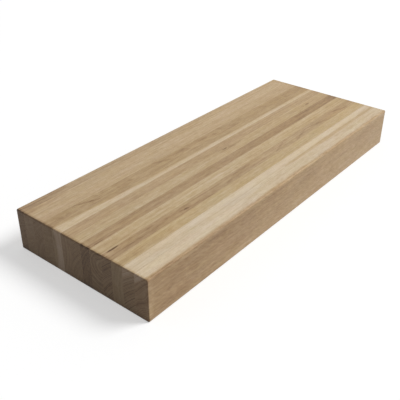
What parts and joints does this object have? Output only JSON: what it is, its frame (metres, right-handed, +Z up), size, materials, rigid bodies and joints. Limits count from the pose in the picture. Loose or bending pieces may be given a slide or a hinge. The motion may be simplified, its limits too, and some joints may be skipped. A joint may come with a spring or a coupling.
{
  "type": "butcher block table top",
  "caption": "Thick rectangular edge-grain hardwood block, full-length staves glued side by side, with eased edges; a heavy work surface to set on a base or counter.",
  "frame": {"origin": "centre of the flat underside", "axes": "+X along the length and the grain, +Y from the front edge to the back edge, +Z up out of the working face"},
  "size_m": [0.9906, 0.381, 0.1016],
  "materials": {
    "pale_sapwood": "sanded and oiled, satin",
    "light_heartwood": "sanded and oiled, satin",
    "brown_heartwood": "sanded and oiled, satin",
    "dark_heartwood": "sanded and oiled, satin",
    "glue": "cured, sanded flush"
  },
  "bodies": {
    "root": {"stave_01": "pale_sapwood", "stave_02": "pale_sapwood", "stave_03": "light_heartwood", "stave_04": "brown_heartwood", "stave_05": "light_heartwood", "stave_06": "dark_heartwood", "stave_07": "light_heartwood", "stave_08": "brown_heartwood", "stave_09": "brown_heartwood", "stave_10": "brown_heartwood", "stave_11": "light_heartwood", "stave_12": "light_heartwood", "stave_13": "brown_heartwood", "glue_line_01": "glue", "glue_line_02": "glue", "glue_line_03": "glue", "glue_line_04": "glue", "glue_line_05": "glue", "glue_line_06": "glue", "glue_line_07": "glue", "glue_line_08": "glue", "glue_line_09": "glue", "glue_line_10": "glue", "glue_line_11": "glue", "glue_line_12": "glue"}
  },
  "joints": []
}
